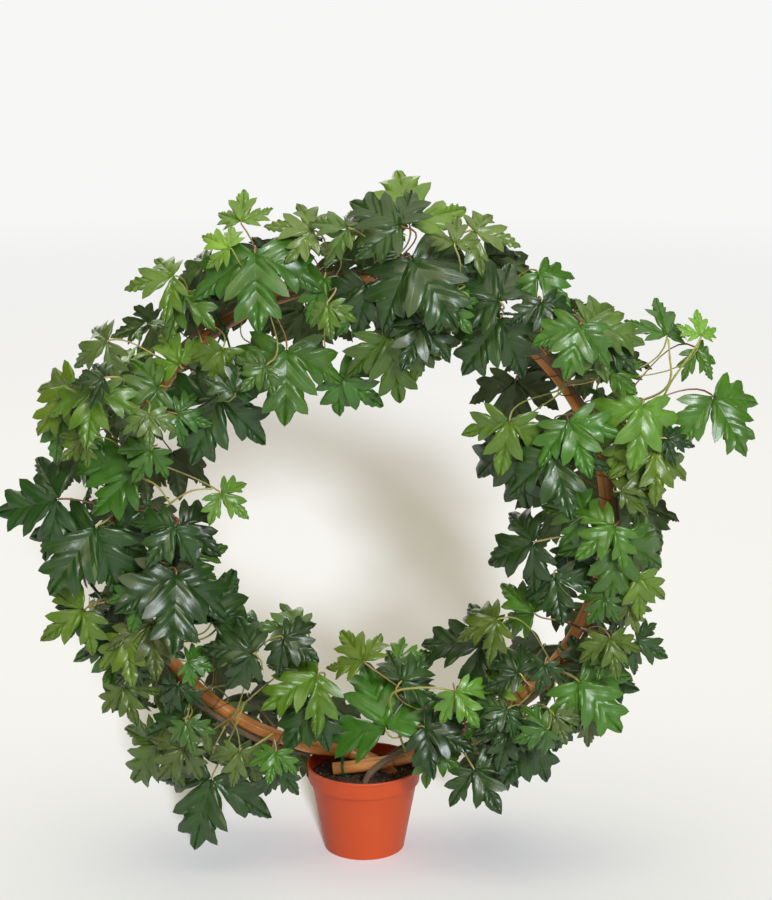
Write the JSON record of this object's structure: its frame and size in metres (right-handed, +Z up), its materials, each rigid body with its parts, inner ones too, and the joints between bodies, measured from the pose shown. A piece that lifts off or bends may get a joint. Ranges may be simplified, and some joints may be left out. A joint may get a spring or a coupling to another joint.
{
  "type": "potted cissus",
  "caption": "Grape ivy with cut leaves trained round an upright cane hoop in a small round plastic pot.",
  "frame": {"origin": "centre of the pot's flat base, on the surface that the pot stands on", "axes": "+Z up, the ring of the hoop in the plane y = 0, the plant's front towards -Y"},
  "size_m": [0.8975, 0.2732, 0.8367],
  "materials": {
    "pot_plastic": "satin moulded plastic, terracotta colour",
    "soil": "damp crumbly potting soil",
    "cane": "varnished cane with a soft gloss",
    "bark": "dull grey-brown bark",
    "tie": "soft green plastic tie",
    "leaf": "waxy green leaf with a broad gloss"
  },
  "bodies": {
    "root": {"pot": "pot_plastic", "soil": "soil", "hoop": "cane", "vine_right": "bark", "vine_left": "bark", "vine_back_right": "bark", "vine_back_left": "bark", "tie_pot": "tie", "tie_top_left": "tie", "tie_right": "tie", "tie_left": "tie", "tie_top_right": "tie", "shoot_front_1": "leaf", "shoot_front_2": "leaf", "shoot_front_3": "leaf", "shoot_front_4": "leaf", "shoot_front_5": "leaf", "shoot_front_6": "leaf", "shoot_front_7": "leaf", "shoot_front_8": "leaf", "shoot_front_9": "leaf", "shoot_front_10": "leaf", "shoot_front_11": "leaf", "shoot_front_12": "leaf", "shoot_front_13": "leaf", "shoot_front_14": "leaf", "shoot_front_15": "leaf", "shoot_front_16": "leaf", "shoot_front_17": "leaf", "shoot_front_18": "leaf", "shoot_front_19": "leaf", "shoot_front_20": "leaf", "shoot_front_21": "leaf", "shoot_front_22": "leaf", "shoot_front_23": "leaf", "shoot_front_24": "leaf", "shoot_front_25": "leaf", "shoot_front_26": "leaf", "shoot_back_1": "leaf", "shoot_back_2": "leaf", "shoot_back_3": "leaf", "shoot_back_4": "leaf", "shoot_back_5": "leaf", "shoot_back_6": "leaf", "shoot_back_7": "leaf", "shoot_back_8": "leaf", "shoot_back_9": "leaf", "shoot_back_10": "leaf", "shoot_back_11": "leaf", "shoot_back_12": "leaf", "shoot_back_13": "leaf", "shoot_back_14": "leaf", "shoot_back_15": "leaf", "shoot_back_16": "leaf", "shoot_back_17": "leaf", "shoot_back_18": "leaf"}
  },
  "joints": []
}
